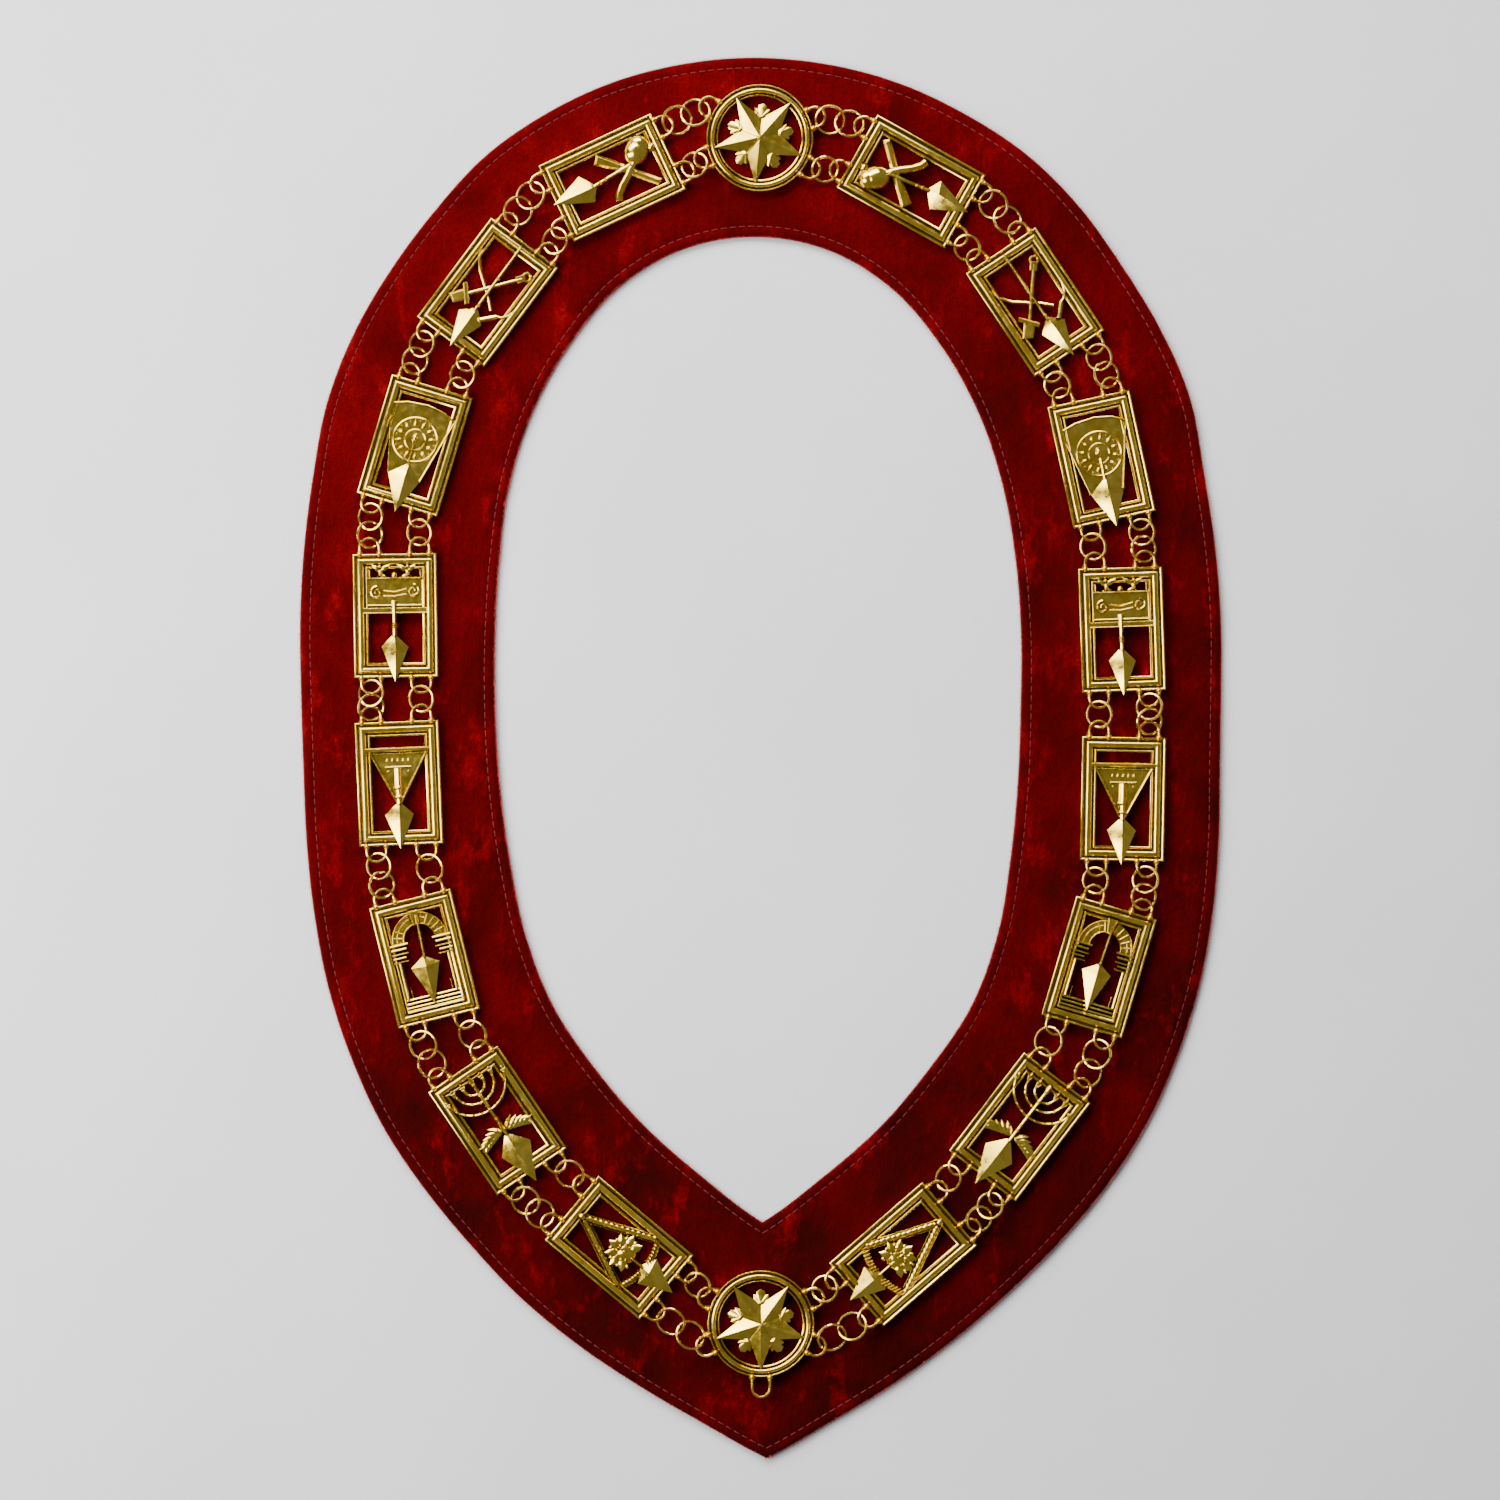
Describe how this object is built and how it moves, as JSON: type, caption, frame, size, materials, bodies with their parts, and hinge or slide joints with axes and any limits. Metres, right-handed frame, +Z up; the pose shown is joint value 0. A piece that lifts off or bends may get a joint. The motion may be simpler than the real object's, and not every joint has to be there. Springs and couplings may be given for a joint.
{
  "type": "chain of office",
  "caption": "Chain of office: openwork gilt plates joined by double strands of jump rings, laid on a pointed collar of deep red velvet.",
  "frame": {"origin": "on the surface it lies on, under the middle of its bounding box", "axes": "+Y towards the nape, -Y towards the collar's point, +X to the right as seen from above, +Z up through the face of the plates"},
  "size_m": [0.313, 0.476, 0.008],
  "materials": {
    "velvet": "crushed pile",
    "gilt": "bright gilt with darker recesses"
  },
  "bodies": {
    "root": {"velvet_collar": "velvet", "star_plate_top": "gilt", "star_plate_bottom": "gilt", "plate_left_1": "gilt", "plate_left_2": "gilt", "plate_left_3": "gilt", "plate_left_4": "gilt", "plate_left_5": "gilt", "plate_left_6": "gilt", "plate_left_7": "gilt", "plate_left_8": "gilt", "plate_right_1": "gilt", "plate_right_2": "gilt", "plate_right_3": "gilt", "plate_right_4": "gilt", "plate_right_5": "gilt", "plate_right_6": "gilt", "plate_right_7": "gilt", "plate_right_8": "gilt", "ring_left_1_a": "gilt", "ring_left_1_b": "gilt", "ring_left_2_a": "gilt", "ring_left_2_b": "gilt", "ring_left_3_a": "gilt", "ring_left_3_b": "gilt", "ring_left_4_a": "gilt", "ring_left_4_b": "gilt", "ring_left_5_a": "gilt", "ring_left_5_b": "gilt", "ring_left_6_a": "gilt", "ring_left_6_b": "gilt", "ring_left_7_a": "gilt", "ring_left_7_b": "gilt", "ring_left_8_a": "gilt", "ring_left_8_b": "gilt", "ring_left_9_a": "gilt", "ring_left_9_b": "gilt", "ring_right_1_a": "gilt", "ring_right_1_b": "gilt", "ring_right_2_a": "gilt", "ring_right_2_b": "gilt", "ring_right_3_a": "gilt", "ring_right_3_b": "gilt", "ring_right_4_a": "gilt", "ring_right_4_b": "gilt", "ring_right_5_a": "gilt", "ring_right_5_b": "gilt", "ring_right_6_a": "gilt", "ring_right_6_b": "gilt", "ring_right_7_a": "gilt", "ring_right_7_b": "gilt", "ring_right_8_a": "gilt", "ring_right_8_b": "gilt", "ring_right_9_a": "gilt", "ring_right_9_b": "gilt"}
  },
  "joints": []
}
